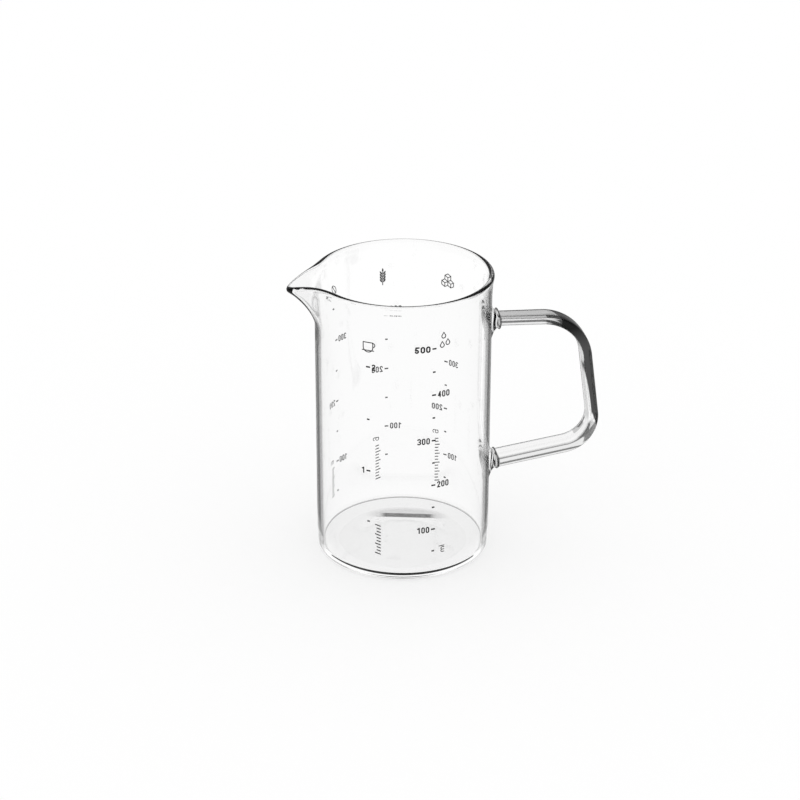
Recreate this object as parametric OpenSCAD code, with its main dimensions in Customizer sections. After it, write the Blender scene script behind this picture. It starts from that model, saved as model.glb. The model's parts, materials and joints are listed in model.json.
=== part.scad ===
// Half-litre glass measuring jug: a blown cylinder with a pulled spout, a flat glass handle
// fused on at two seals, and five scales fired on in black enamel.
// The origin is the middle of the base, +Z is up, the handle points along +X, the spout along -X.

/* [Vessel] */
// Outer diameter of the straight wall
outer_d = 80; // [70:0.5:100]
// Height from the resting ring to the top of the rim
jug_h = 136.6; // [125:0.2:170]
// Thickness of the wall
wall = 2.3; // [1.6:0.1:3]
// Thickness of the base at its edge
base_t = 3.5; // [2.6:0.1:5]
// Outer radius of the corner between wall and base
base_corner_r = 3.3; // [2:0.1:5]
// Inner radius of the corner between wall and floor
floor_corner_r = 1.2; // [0.8:0.1:5]
// Rise of the floor's middle above its edge
floor_dome = 0.4; // [0.2:0.1:1.5]
// Rise of the hollow under the base
hollow_rise = 1.1; // [0.4:0.1:1.5]
// Diameter of that hollow, inside the resting ring
hollow_d = 60; // [50:1:62]
// Diameter of its level middle
hollow_top_d = 24; // [10:1:34]

/* [Rim and spout] */
// Diameter of the fire-polished bead round the rim
rim_bead_d = 2.7; // [2.5:0.1:3.4]
// How far the wall leans out at the rim
rim_flare = 0.9; // [0.4:0.1:1.5]
// Height over which the wall leans out
rim_flare_h = 12.6; // [9:0.2:18]
// Reach of the spout past the rim
spout_reach = 12.4; // [8:0.2:16]
// How far the rim drops at the tip of the spout
spout_dip = 3.4; // [2:0.1:7]
// Height of the wall that the spout is pulled from
spout_h = 24.6; // [20:0.2:32]
// Half of the angle that the spout takes of the rim
spout_half_angle = 36; // [28:1:38]
// Roundness of the tip, as a share of that angle
spout_tip_share = 0.08; // [0.08:0.01:0.2]

/* [Handle] */
// Distance from the rim down to the upper seal's middle
upper_seal_drop = 26.1; // [24:0.1:34]
// Height of the lower seal's middle
lower_seal_z = 39.6; // [25:0.5:45]
// Width of the bar at the upper seal
bar_w_top = 9.4; // [8:0.1:12]
// Width of the bar at the lower seal
bar_w_low = 12.6; // [9:0.1:14]
// Thickness of the bar at the upper seal
bar_t_top = 4.6; // [3.6:0.1:5]
// Thickness of the bar at the lower seal
bar_t_low = 4.8; // [3.6:0.1:6]
// Distance from the wall to where the upper arm and the grip would meet
upper_corner_out = 43; // [38:0.5:50]
// Fall of the upper arm from the seal to that corner
upper_arm_fall = 1.6; // [0:0.1:4]
// Distance from the wall to where the grip and the lower arm would meet
lower_corner_out = 51.2; // [44:0.5:56]
// Rise of the lower arm from the seal to that corner
lower_arm_rise = 6.9; // [2:0.1:10]
// Radius of the upper bend along the middle of the bar
upper_bend_r = 22; // [14:0.5:24]
// Radius of the lower bend along the middle of the bar
lower_bend_r = 15; // [9:0.5:17]

/* [Handle seals] */
// Radius of the pad where a seal spreads over the wall
seal_pad_r = 9.4; // [8:0.1:11]
// Distance from the wall to where the bar begins
seal_out = 4.4; // [4.2:0.1:7]
// Height over which the pad narrows to the neck
seal_flare_out = 2.9; // [2.4:0.1:4]
// Half height of the neck
seal_neck_h = 3.9; // [3.2:0.1:5]
// Half width of the neck
seal_neck_w = 6.4; // [5:0.1:7.5]
// How far the squashed ring at the seam stands proud of the neck
seal_ring_proud = 0.6; // [0.2:0.1:1]

/* [Enamel marks] */
// Thickness of the fired enamel
enamel_t = 0.1; // [0.06:0.01:0.2]
// Height of the figures
figure_h = 3.1; // [2.4:0.1:4]
// Width of a figure
figure_w = 1.65; // [1.4:0.05:2.4]
// Width of a figure's stroke
figure_stroke = 0.55; // [0.3:0.05:0.6]
// Gap between two figures
figure_gap = 0.4; // [0.3:0.05:0.8]
// Length of a tick at a full hundred or a full cup
long_tick = 1.9; // [1.4:0.1:3]
// Length of the ticks between them
short_tick = 1.25; // [0.8:0.1:1.9]
// Thickness of a tick
tick_t = 0.7; // [0.3:0.05:0.8]
// Gap between a tick and its figures
tick_gap = 0.85; // [0.5:0.05:1.5]
// Distance from the line of the ticks to the middle of the unit marks and guide bands
unit_out = 4.8; // [4.4:0.1:6]
// Height of the small letters of the unit marks
letter_h = 1.9; // [1.6:0.1:2.2]
// Width of those letters' strokes
letter_stroke = 0.36; // [0.25:0.01:0.4]
// Distance from one slanted stroke of the guide bands to the next
hatch_step = 1.6; // [1.2:0.1:1.8]
// Thickness of those strokes
hatch_t = 0.5; // [0.25:0.05:0.6]
// Lean of those strokes in degrees
hatch_lean = 15; // [0:1:30]

/* [Enamel pictures] */
// Distance from the rim down to the middle of the pictures
picture_drop = 18.2; // [17.8:0.1:20]
// Least gap between a picture and the top mark below it
picture_clear = 1.2; // [0.8:0.1:2]
// Line width of the pictures
picture_line = 0.42; // [0.25:0.01:0.5]
// Radius of a water drop
drop_r = 1.15; // [1:0.05:1.3]
// Height of a water drop from the middle of its belly to where its tip would be sharp
drop_h = 3.3; // [3:0.1:3.8]
// Distance of the drops from the line of the ticks
drops_out = 5.1; // [4:0.1:7]
// The same for the ear of grain
ear_out = 1.6; // [0:0.1:3]
// Width of the cup, without its handle
cup_w = 5; // [4:0.1:6]
// Height of the cup above its saucer's middle line
cup_h = 3.4; // [3:0.1:4]
// Length of the cocoa bean
bean_h = 5.6; // [5:0.1:6.4]
// Width of the cocoa bean
bean_w = 3.2; // [2.6:0.1:3.8]
// Height of the ear of grain with its stalk
ear_h = 8.4; // [7.4:0.1:9]
// Length of a grain
grain_h = 2.1; // [1.8:0.1:2.4]
// Width of a grain
grain_w = 0.85; // [0.7:0.05:1]
// Side of a sugar cube
cube_side = 1.9; // [1.6:0.1:2.2]

/* [Scales] */
// Bearing of the millilitre scale round the wall
ml_bearing = -80.5; // [-90:0.5:-60]
// Bearing of the cup scale
cup_bearing = -123.2; // [-130:0.5:-110]
// Bearing of the cocoa scale
cocoa_bearing = 134.8; // [124:0.1:136]
// Bearing of the flour scale
flour_bearing = 91.4; // [80:0.1:100]
// Bearing of the sugar scale
sugar_bearing = 47.7; // [40:0.1:60]
// Volume from one millilitre mark to the next
ml_per_mark = 50; // [50:25:100]
// Number of millilitre marks, if the jug is tall enough
ml_marks = 10; // [6:1:10]
// Height of the lowest cup tick
cup_first_z = 29.8; // [24:0.2:34]
// Height between two cup ticks
cup_step = 25.6; // [22:0.2:27]
// Number of cup marks
cup_marks = 4; // [2:1:4]
// Height of the lowest cocoa tick
cocoa_first_z = 15.2; // [13:0.2:18]
// Height between two cocoa ticks
cocoa_step = 15.65; // [13:0.05:16]
// Number of cocoa marks
cocoa_marks = 7; // [4:1:7]
// Height of the lowest flour tick
flour_first_z = 26.3; // [20:0.2:28]
// Height between two flour ticks
flour_step = 15.1; // [13:0.1:16]
// Number of flour marks
flour_marks = 6; // [4:1:7]
// Height of the lowest sugar tick
sugar_first_z = 16.6; // [14:0.2:20]
// Height between two sugar ticks
sugar_step = 12.2; // [10:0.1:14]
// Number of sugar marks
sugar_marks = 6; // [4:1:7]
// Height of the lower end of the unit marks and guide bands
unit_z = 13.4; // [10:0.2:16]

/* [Hidden] */

$fn = 48;
// Facets of what follows the round wall
WALL_FN = 180;
// Facets of the wide arcs of the floor's dome and of the leaning wall, which are shallow
FLAT_ARC_FN = 1440;
MM3_PER_ML = 1000;

outer_r = outer_d / 2;
inner_r = outer_r - wall;
bead_r = rim_bead_d / 2;
rim_z = jug_h - bead_r;
spout_z = jug_h - spout_h;
flare_z = jug_h - rim_flare_h;
upper_seal_z = jug_h - upper_seal_drop;
picture_z = jug_h - picture_drop;
// Runs past a surface that it cuts
overrun = wall / 4;

// Radius of the arc by which the outer wall leans out, from its sagitta
lean_r = (pow(rim_flare_h, 2) + pow(rim_flare, 2)) / (2 * rim_flare);
lean_x = outer_r + lean_r;

// Radius of the floor's shallow dome, from its sagitta
floor_flat_r = inner_r - floor_corner_r;
floor_dome_r = (pow(floor_flat_r, 2) + pow(floor_dome, 2)) / (2 * floor_dome);

// Height of the liquid for a volume: the floor, what the dome and the corner take up, and the column
floor_dome_volume = PI * floor_dome * (3 * pow(floor_flat_r, 2) + pow(floor_dome, 2)) / 6;
corner_volume = (1 - PI / 4) * pow(floor_corner_r, 2) * 2 * PI * inner_r;
bore_area = PI * pow(inner_r, 2);
floor_z = base_t + (floor_dome_volume + corner_volume) / bore_area;
function z_of_ml(ml) = floor_z + ml * MM3_PER_ML / bore_area;

// Vessel
// The outline of the wall and the base, turned about the axis
module vessel_outline() {
    difference() {
        union() {
            translate([outer_r - base_corner_r, base_corner_r]) circle(r = base_corner_r);
            square([outer_r - base_corner_r, base_t + floor_dome + overrun]);
            translate([0, base_corner_r]) square([outer_r, flare_z - base_corner_r]);
        }
        bore_outline();
        hollow_outline();
    }
    lean_outline();
    translate([mid_wall_x(rim_z), rim_z]) circle(r = bead_r);
}

// The inside of the straight wall, with its round corner at the floor, above the domed floor
module bore_outline() {
    translate([floor_flat_r, base_t + floor_corner_r]) circle(r = floor_corner_r);
    difference() {
        translate([0, base_t]) square([floor_flat_r, floor_corner_r + overrun]);
        translate([0, base_t + floor_dome - floor_dome_r]) circle(r = floor_dome_r, $fn = FLAT_ARC_FN);
    }
    translate([0, base_t + floor_corner_r]) square([inner_r, jug_h - base_t - floor_corner_r]);
}

// Height of the underside inside the resting ring: an S of two parabolas, steepest halfway
function hollow_z(r) =
    let (u = (hollow_d / 2 - r) / ((hollow_d - hollow_top_d) / 2))
    hollow_rise * (u < 0.5 ? 2 * pow(u, 2) : 1 - 2 * pow(1 - u, 2));

// The shallow hollow under the base
HOLLOW_STEPS = 18;
module hollow_outline() {
    slope = [for (i = [0 : HOLLOW_STEPS])
        let (r = (hollow_top_d + (hollow_d - hollow_top_d) * i / HOLLOW_STEPS) / 2) [r, hollow_z(r)]];
    polygon(concat([[0, -overrun], [0, hollow_rise]], slope, [[hollow_d / 2, -overrun]]));
}

// The band of wall that leans out to the rim, between two arcs about one centre
module lean_outline() {
    intersection() {
        difference() {
            translate([lean_x, flare_z]) circle(r = lean_r + wall, $fn = FLAT_ARC_FN / 4);
            translate([lean_x, flare_z]) circle(r = lean_r, $fn = FLAT_ARC_FN / 4);
        }
        translate([inner_r - overrun, flare_z]) square([2 * wall + rim_flare, rim_z - flare_z]);
    }
}

// Middle of the wall's thickness at a height, away from the spout
function mid_wall_x(z) =
    z <= flare_z ? outer_r - wall / 2
                 : lean_x - sqrt(pow(lean_r + wall / 2, 2) - pow(z - flare_z, 2));

// The spout is a bump of the wall: one at its middle, nothing at the edge of its angle
function spout_share(turn) =
    let (u = sqrt(pow(turn / spout_half_angle, 2) + pow(spout_tip_share, 2)))
    u >= 1 ? 0 : (1 - u) / (1 - spout_tip_share);
// Powers of that bump for the reach and the dip, and of the height for how the reach grows
REACH_POWER = 2.9;
DIP_POWER = 4.8;
DEPTH_POWER = 1.8;

// A point of the middle of the wall: turn from the spout's middle, and share of the way up to the rim
function spout_point(turn, up) =
    let (s = spout_share(turn),
         top = rim_z - spout_dip * pow(s, DIP_POWER),
         z = spout_z + up * (top - spout_z),
         r = mid_wall_x(z) + spout_reach * pow(s, REACH_POWER) * pow(up, DEPTH_POWER))
    [r * cos(180 + turn), r * sin(180 + turn), z];

function unit(v) = v / norm(v);
// Small steps in degrees and in shares of the height, for the slopes of the surface
TURN_STEP = 0.02;
UP_STEP_SHARE = 0.001;
function spout_up(turn, up) =
    unit(spout_point(turn, min(1, up + UP_STEP_SHARE)) - spout_point(turn, max(0, up - UP_STEP_SHARE)));
function spout_out(turn, up) =
    let (along = spout_point(turn + TURN_STEP, up) - spout_point(turn - TURN_STEP, up))
    unit(cross(along, spout_up(turn, up)));

// One radial section of the spout: up the outside, round the bead and down the inside
SPOUT_ROWS = 10;
BEAD_STEPS = 10;
// Angle at which the bead leaves the wall's surface, and how far below its middle that is
bead_start = asin(wall / 2 / bead_r) - 90;
bead_drop_share = -bead_r * sin(bead_start) / (rim_z - spout_dip - spout_z);
function spout_section(turn) =
    let (ups = [for (i = [0 : SPOUT_ROWS - 1]) (1 - bead_drop_share) * i / (SPOUT_ROWS - 1)],
         rim = spout_point(turn, 1),
         out = spout_out(turn, 1),
         rise = spout_up(turn, 1))
    concat(
        [for (k = [0 : SPOUT_ROWS - 1]) wall_face(turn, ups[k], wall / 2)],
        [for (k = [0 : BEAD_STEPS])
            let (a = bead_start + k * (180 - 2 * bead_start) / BEAD_STEPS)
            rim + bead_r * (cos(a) * out + sin(a) * rise)],
        [for (k = [SPOUT_ROWS - 1 : -1 : 0]) wall_face(turn, ups[k], -wall / 2)]
    );

// A point of the wall's faces, off its middle by half the wall; at the foot it lies on the level seam
function wall_face(turn, up, off) =
    spout_point(turn, up) + off * (up == 0 ? [cos(180 + turn), sin(180 + turn), 0] : spout_out(turn, up));

// The patch of wall that holds the spout runs a little past the spout's own angle
PATCH_SHARE = 1.08;
patch_half = spout_half_angle * PATCH_SHARE;
PATCH_COLUMNS = 44;
// Columns stand closer towards the tip as this power grows
CROWD_POWER = 1.5;
function patch_turn(j) =
    let (q = 2 * j / PATCH_COLUMNS - 1)
    patch_half * sign(q) * pow(abs(q), CROWD_POWER);

// Skins a list of equal closed loops into a closed solid with flat ends
module loft(loops) {
    n = len(loops[0]);
    m = len(loops);
    side = [for (j = [0 : m - 2], i = [0 : n - 1])
        let (a = j * n + i, b = j * n + (i + 1) % n)
        each [[a, b, b + n], [a, b + n, a + n]]];
    polyhedron(
        points = [for (l = loops) each l],
        faces = concat(side, [[for (i = [n - 1 : -1 : 0]) i]], [[for (i = [0 : n - 1]) (m - 1) * n + i]]),
        convexity = 4
    );
}

// The pulled part of the wall, which meets the rest of it face to face
module pouring_spout() {
    color("lightcyan", 0.4)
        loft([for (j = [PATCH_COLUMNS : -1 : 0]) spout_section(patch_turn(j))]);
}

// The wedge of the upper wall that the spout takes the place of
module spout_wedge() {
    reach = 2 * outer_r;
    translate([0, 0, spout_z])
        linear_extrude(spout_h + overrun)
            polygon([[0, 0],
                     [reach * cos(180 - patch_half), reach * sin(180 - patch_half)],
                     [-reach, 0],
                     [reach * cos(180 + patch_half), reach * sin(180 + patch_half)]]);
}

module vessel() {
    color("lightcyan", 0.4)
    difference() {
        rotate_extrude($fn = WALL_FN) vessel_outline();
        spout_wedge();
    }
}

// Handle
// The middle of the bar, as points in the upright plane through the axis
seam_x = outer_r + seal_out;
UPPER_START = [seam_x, upper_seal_z];
UPPER_CORNER = [outer_r + upper_corner_out, upper_seal_z - upper_arm_fall];
LOWER_CORNER = [outer_r + lower_corner_out, lower_seal_z + lower_arm_rise];
LOWER_END = [seam_x, lower_seal_z];
BEND_STEPS = 13;
ARM_STEPS = 4;
GRIP_STEPS = 6;

// Points of the arc that rounds the corner b between a and c, radius r
function rounded(a, b, c, r) =
    let (p = unit(a - b), q = unit(c - b),
         half = acos(p * q) / 2,
         start = b + p * r / tan(half),
         middle = b + unit(p + q) * r / sin(half),
         from = start - middle,
         // The arc turns clockwise as the bar runs out, down and back
         sweep = 180 - 2 * half)
    [for (i = [0 : BEND_STEPS])
        let (t = -i * sweep / BEND_STEPS)
        middle + [from[0] * cos(t) - from[1] * sin(t), from[0] * sin(t) + from[1] * cos(t)]];

function between(a, b, n) = [for (i = [1 : n - 1]) a + (b - a) * i / n];

upper_bend = rounded(UPPER_START, UPPER_CORNER, LOWER_CORNER, upper_bend_r);
lower_bend = rounded(UPPER_CORNER, LOWER_CORNER, LOWER_END, lower_bend_r);
bar_path = concat(
    [UPPER_START], between(UPPER_START, upper_bend[0], ARM_STEPS),
    upper_bend, between(upper_bend[BEND_STEPS], lower_bend[0], GRIP_STEPS),
    lower_bend, between(lower_bend[BEND_STEPS], LOWER_END, ARM_STEPS), [LOWER_END]);

// Direction across the bar's thickness at a point of its path, square to the way it runs
function bar_across(i) =
    let (last = len(bar_path) - 1,
         way = i == 0 ? [1, 0]
             : i == last ? [-1, 0]
             : unit(bar_path[i + 1] - bar_path[i - 1]))
    [-way[1], way[0]];

// A rounded oblong loop: half width and half height, squarer as the power grows
SECTION_POINTS = 20;
BAR_SQUARENESS = 5;
function oblong(half_w, half_h, squareness) =
    [for (k = [0 : SECTION_POINTS - 1])
        let (a = 360 * (k + 0.5) / SECTION_POINTS)
        [half_w * sign(cos(a)) * pow(abs(cos(a)), 2 / squareness),
         half_h * sign(sin(a)) * pow(abs(sin(a)), 2 / squareness)]];

function bar_section(i) =
    let (f = i / (len(bar_path) - 1),
         across = bar_across(i),
         loop = oblong((bar_w_top + (bar_w_low - bar_w_top) * f) / 2,
                       (bar_t_top + (bar_t_low - bar_t_top) * f) / 2, BAR_SQUARENESS))
    [for (q = loop) [bar_path[i][0] + across[0] * q[1], q[0], bar_path[i][1] + across[1] * q[1]]];

module handle() {
    color("azure", 0.5)
        loft([for (i = [len(bar_path) - 1 : -1 : 0]) bar_section(i)]);
}

// Handle seals
// How wide the flare still is, one at the wall and nothing at the neck
function seal_flare(d) = pow(max(0, 1 - d / seal_flare_out), 2);
// The squashed ring, between the neck and the seam
ring_out = (seal_flare_out + seal_out) / 2;
ring_half = (seal_out - seal_flare_out) / 2;
function seal_ring(d) = pow(cos(90 * min(1, abs(d - ring_out) / ring_half)), 2);
// How far the section has gone from the neck's to the bar's
function to_bar(d) = pow(max(0, (d - ring_out) / ring_half), 2);

function seal_section(d, z, bar_w, bar_t) =
    let (b = to_bar(d),
         neck_w = seal_neck_w + (seal_pad_r - seal_neck_w) * seal_flare(d) + seal_ring_proud * seal_ring(d),
         neck_h = seal_neck_h + (seal_pad_r - seal_neck_h) * seal_flare(d) + seal_ring_proud * seal_ring(d),
         wrap = max(0, 1 - d / seal_flare_out),
         loop = oblong(neck_w + (bar_w / 2 - neck_w) * b, neck_h + (bar_t / 2 - neck_h) * b,
                       2 + (BAR_SQUARENESS - 2) * b))
    // Near the wall the section follows the wall's curve, at the seam it is flat
    [for (q = loop)
        let (r = outer_r + d, x = r + wrap * (sqrt(pow(r, 2) - pow(q[0], 2)) - r))
        [x, q[0], z + q[1]]];

SEAL_ROWS = 14;
module handle_seal(z, bar_w, bar_t) {
    sink = wall / 2;
    difference() {
        // From inside the wall out to the seam
        loft([for (i = [0 : SEAL_ROWS])
            seal_section(-sink + (seal_out + sink) * i / SEAL_ROWS, z, bar_w, bar_t)]);
        translate([0, 0, z - 2 * seal_pad_r]) cylinder(r = outer_r, h = 4 * seal_pad_r, $fn = WALL_FN);
    }
}

module upper_handle_seal() {
    color("azure", 0.5) handle_seal(upper_seal_z, bar_w_top, bar_t_top);
}

module lower_handle_seal() {
    color("azure", 0.5) handle_seal(lower_seal_z, bar_w_low, bar_t_low);
}

// Enamel
// A thin skin on the straight wall, cut to the shape of the flat marks pushed through it
module enamel() {
    color([0.06, 0.06, 0.06])
    intersection() {
        difference() {
            cylinder(r = outer_r + enamel_t, h = jug_h, $fn = WALL_FN);
            translate([0, 0, -overrun]) cylinder(r = outer_r, h = jug_h + 2 * overrun, $fn = WALL_FN);
        }
        children();
    }
}

// Stands a flat mark upright at a bearing and a height, read from outside the jug
module at_wall(bearing, z) {
    rotate([0, 0, bearing])
        translate([outer_r - wall, 0, z])
            rotate([90, 0, 90])
                linear_extrude(2 * wall) children();
}

// Round ends are a shade wider than their lines, so that the two cross cleanly
END_SHARE = 1.04;
module round_end(point, thick) {
    translate(point) circle(d = thick * END_SHARE, $fn = 16);
}

// A chain of lines with round ends and corners
module lines(points, thick) {
    for (i = [0 : len(points) - 2]) {
        way = points[i + 1] - points[i];
        translate(points[i])
            rotate(atan2(way[1], way[0]))
                translate([0, -thick / 2]) square([norm(way), thick]);
    }
    for (point = points) round_end(point, thick);
}

module line(a, b, thick) {
    lines([a, b], thick);
}

// Part of a ring from one angle to a larger one, with round ends
module arc(centre, r, from, to, thick) {
    far = 2 * r + thick;
    steps = ceil((to - from) / 60);
    translate(centre) {
        intersection() {
            difference() {
                circle(r = r + thick / 2, $fn = 32);
                circle(r = r - thick / 2, $fn = 32);
            }
            polygon(concat([[0, 0]], [for (i = [0 : steps])
                let (a = from + (to - from) * i / steps) [far * cos(a), far * sin(a)]]));
        }
        round_end([r * cos(from), r * sin(from)], thick);
        round_end([r * cos(to), r * sin(to)], thick);
    }
}

// Figures, each in a box of the width w and the height h, drawn with the stroke s
module figure_0(w, h, s) {
    difference() {
        stadium(w, h);
        translate([s, s]) stadium(w - 2 * s, h - 2 * s);
    }
}

module stadium(w, h) {
    r = w / 2;
    translate([r, r]) circle(r = r, $fn = 32);
    translate([r, h - r]) circle(r = r, $fn = 32);
    translate([0, r]) square([w, h - w]);
}

module figure_1(w, h, s) {
    lines([[w / 4, h - h / 4], [w - w / 3, h - s / 2], [w - w / 3, s / 2]], s);
}

module figure_2(w, h, s) {
    r = (w - s) / 2;
    arc([w / 2, h - w / 2], r, -30, 170, s);
    lines([[w / 2 + r * cos(-30), h - w / 2 + r * sin(-30)], [s / 2, s / 2], [w - s / 2, s / 2]], s);
}

module figure_3(w, h, s) {
    r = (h - s) / 4;
    arc([w / 2, h - s / 2 - r], r, -90, 150, s);
    arc([w / 2, s / 2 + r], r, -150, 90, s);
}

module figure_4(w, h, s) {
    foot = [w - s, s / 2];
    top = [w - s, h - s / 2];
    left = [s / 2, h / 3];
    way = unit(top - left);
    // The counter is bounded by the inner sides of the three strokes
    inner = left + s / 2 * [way[1], -way[0]];
    low = h / 3 + s / 2;
    right = w - 1.5 * s;
    difference() {
        union() {
            lines([foot, top, left, [w - s / 2, h / 3]], s);
            polygon([top, left, [w - s, h / 3]]);
        }
        polygon([[inner[0] + way[0] / way[1] * (low - inner[1]), low],
                 [right, low],
                 [right, inner[1] + way[1] / way[0] * (right - inner[0])]]);
    }
}

module figure_5(w, h, s) {
    r = (h * 0.62 - s) / 2;
    arc([w / 2 - s / 4, s / 2 + r], r, -150, 130, s);
    lines([[w - s / 2, h - s / 2], [s / 2 + s / 4, h - s / 2], [s / 2, h / 2]], s);
}

module figure(n, w, h, s) {
    if (n == 0) figure_0(w, h, s);
    if (n == 1) figure_1(w, h, s);
    if (n == 2) figure_2(w, h, s);
    if (n == 3) figure_3(w, h, s);
    if (n == 4) figure_4(w, h, s);
    if (n == 5) figure_5(w, h, s);
}

function number_width(digits, w) = len(digits) * w + (len(digits) - 1) * figure_gap;

module number(digits, w, h, s) {
    for (i = [0 : len(digits) - 1]) translate([i * (w + figure_gap), -h / 2]) figure(digits[i], w, h, s);
}

// A number beside a tick: odd ones stand to its left, even ones to its right
module tick_number(digits, w, h, s) {
    left = digits[0] % 2 == 1;
    away = long_tick / 2 + tick_gap;
    translate([left ? -away - number_width(digits, w) : away, 0]) number(digits, w, h, s);
}

// Ticks at a list of heights, short and long by turns, with a short one at the foot
module ticks(bearing, heights) {
    for (i = [0 : len(heights) - 1]) {
        long = i % 2 == 1 ? long_tick : short_tick;
        at_wall(bearing, heights[i]) translate([-long / 2, -tick_t / 2]) square([long, tick_t]);
    }
}

// A shorter jug holds less, so only the marks that stay below the pictures are printed.
// The millilitre scale runs up beside its picture, the others end under theirs.
marks_top_z = picture_z - ear_h / 2 - picture_clear;
ml_heights = [for (i = [1 : ml_marks]) let (z = z_of_ml(i * ml_per_mark)) if (z <= picture_z) z];
function even_marks(first, step, count) =
    [for (i = [0 : count - 1]) let (z = first + i * step) if (z <= marks_top_z) z];
cup_heights = even_marks(cup_first_z, cup_step, cup_marks);
cocoa_heights = even_marks(cocoa_first_z, cocoa_step, cocoa_marks);
flour_heights = even_marks(flour_first_z, flour_step, flour_marks);
sugar_heights = even_marks(sugar_first_z, sugar_step, sugar_marks);

// Long ticks carry a figure: that of the last one of a scale
function last_figure(heights) = floor(len(heights) / 2);

// The full hundreds at the long ticks of a scale, up to the last one given
module hundreds(bearing, heights, last) {
    for (k = [1 : last])
        at_wall(bearing, heights[2 * k - 1]) tick_number([k, 0, 0], figure_w, figure_h, figure_stroke);
}

// Unit marks, which read upwards beside the foot of a scale
letter_w = 1.45 * letter_h;
tall_letter_h = 1.4 * letter_h;
module letter_m() {
    r = (letter_w - letter_stroke) / 4;
    shoulder = letter_h - letter_stroke / 2 - r;
    for (k = [0, 1]) arc([letter_stroke / 2 + r * (1 + 2 * k), shoulder], r, 0, 180, letter_stroke);
    for (k = [0 : 2]) {
        x = letter_stroke / 2 + 2 * r * k;
        line([x, letter_stroke / 2], [x, shoulder], letter_stroke);
    }
}

module letter_l() {
    line([letter_stroke / 2, letter_stroke / 2], [letter_stroke / 2, tall_letter_h], letter_stroke);
}

module letter_g() {
    r = (letter_h - letter_stroke) / 2;
    right = letter_h - letter_stroke / 2;
    arc([letter_stroke / 2 + r, letter_stroke / 2 + r], r, 0, 350, letter_stroke);
    line([right, right], [right, -r / 2], letter_stroke);
    arc([letter_stroke / 2 + r, -r / 2], r, 200, 360, letter_stroke);
}

// A band of slanted strokes, every third one taller, standing in for a word
TALL_EVERY = 3;
module guide_band(strokes) {
    for (i = [0 : strokes - 1]) {
        h = i % TALL_EVERY == 0 ? tall_letter_h : letter_h;
        lean = h * tan(hatch_lean);
        translate([i * hatch_step, 0])
            polygon([[0, 0], [hatch_t, 0], [hatch_t + lean, h], [lean, h]]);
    }
}

module reading_up(bearing, z) {
    at_wall(bearing, z) translate([unit_out + letter_h / 2, 0]) rotate(90) children();
}

module gram_unit(bearing, strokes) {
    reading_up(bearing, unit_z) {
        guide_band(strokes);
        translate([(strokes + 1) * hatch_step, 0]) letter_g();
    }
}

// Pictures, each drawn about its own middle
module drop_shape(r, h) {
    // The sides run from the tip to where they touch the round belly
    touch = acos(r / (h - r));
    circle(r = r, $fn = 32);
    polygon([[0, h - r], [r * sin(touch), r * cos(touch)], [0, 0], [-r * sin(touch), r * cos(touch)]]);
}

module drop_outline() {
    difference() {
        drop_shape(drop_r, drop_h);
        drop_shape(drop_r - picture_line, drop_h - 2.6 * picture_line);
    }
}

module drops() {
    gap = 2 * drop_r + picture_line;
    for (place = [[-gap / 2, -drop_h / 2], [gap / 2, -drop_h / 4], [-gap / 4, drop_h * 0.8]])
        translate(place) drop_outline();
}

module cup_outline() {
    r = cup_w / 2 - picture_line / 2;
    top = cup_h / 2;
    lines([[-r, top - r], [-r, top], [r, top], [r, top - r]], picture_line);
    arc([0, top - r], r, 180, 360, picture_line);
    arc([r, top - r / 2], r / 2.4, -80, 80, picture_line);
    line([-r - picture_line, -top - picture_line], [r + picture_line, -top - picture_line], picture_line);
}

module bean() {
    // A lens between two arcs about centres to its left and right
    r = (pow(bean_h / 2, 2) + pow(bean_w / 2, 2)) / bean_w;
    rotate(-35) {
        difference() {
            lens(r, bean_w);
            lens(r - picture_line, bean_w - 2 * picture_line);
        }
        line([0, bean_h / 2 - picture_line], [0, picture_line - bean_h / 2], picture_line);
    }
}

module lens(r, w) {
    intersection() {
        translate([r - w / 2, 0]) circle(r = r, $fn = 64);
        translate([w / 2 - r, 0]) circle(r = r, $fn = 64);
    }
}

module grain_ear() {
    grain_r = (pow(grain_h / 2, 2) + pow(grain_w / 2, 2)) / grain_w;
    line([0, -ear_h / 2], [0, ear_h / 2 - grain_h], picture_line);
    translate([0, ear_h / 2 - grain_h / 2]) lens(grain_r, grain_w);
    for (row = [0 : 3], side = [-1, 1])
        translate([side * grain_w, ear_h / 2 - grain_h * 1.1 - row * grain_h * 0.62])
            rotate(-side * 32) lens(grain_r, grain_w);
}

// A cube seen from its corner: a hexagon with the three faces cut out of it, so that the edges stay
module cube_picture() {
    edge = cube_side + picture_line / 2 / cos(30);
    face_share = 1 - picture_line / (cube_side * sin(60));
    difference() {
        polygon([for (a = [30 : 60 : 330]) edge * [cos(a), sin(a)]]);
        for (turn = [0 : 120 : 240]) {
            middle = cube_side / 2 * [cos(turn - 30), sin(turn - 30)];
            corners = [[0, 0], for (a = [-90 : 60 : 30]) cube_side * [cos(a + turn), sin(a + turn)]];
            polygon([for (c = corners) middle + face_share * (c - middle)]);
        }
    }
}

module sugar_cubes() {
    wide = cube_side * cos(30);
    for (place = [[-wide, -cube_side * 0.75], [wide, -cube_side * 0.75], [0, cube_side * 0.75]])
        translate(place) cube_picture();
}

// Millilitre scale
module millilitre_ticks() { enamel() ticks(ml_bearing, ml_heights); }

bold_share = 1.25;
module millilitre_figures() {
    enamel() {
        hundreds(ml_bearing, ml_heights, last_figure(ml_heights) - 1);
        // The full measure is as tall as the rest, but wider and bolder
        at_wall(ml_bearing, ml_heights[2 * last_figure(ml_heights) - 1])
            tick_number([last_figure(ml_heights), 0, 0],
                        figure_w * bold_share, figure_h, figure_stroke * bold_share);
    }
}

module millilitre_unit() {
    enamel() reading_up(ml_bearing, unit_z) {
        letter_m();
        translate([letter_w + figure_gap, 0]) letter_l();
    }
}

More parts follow.
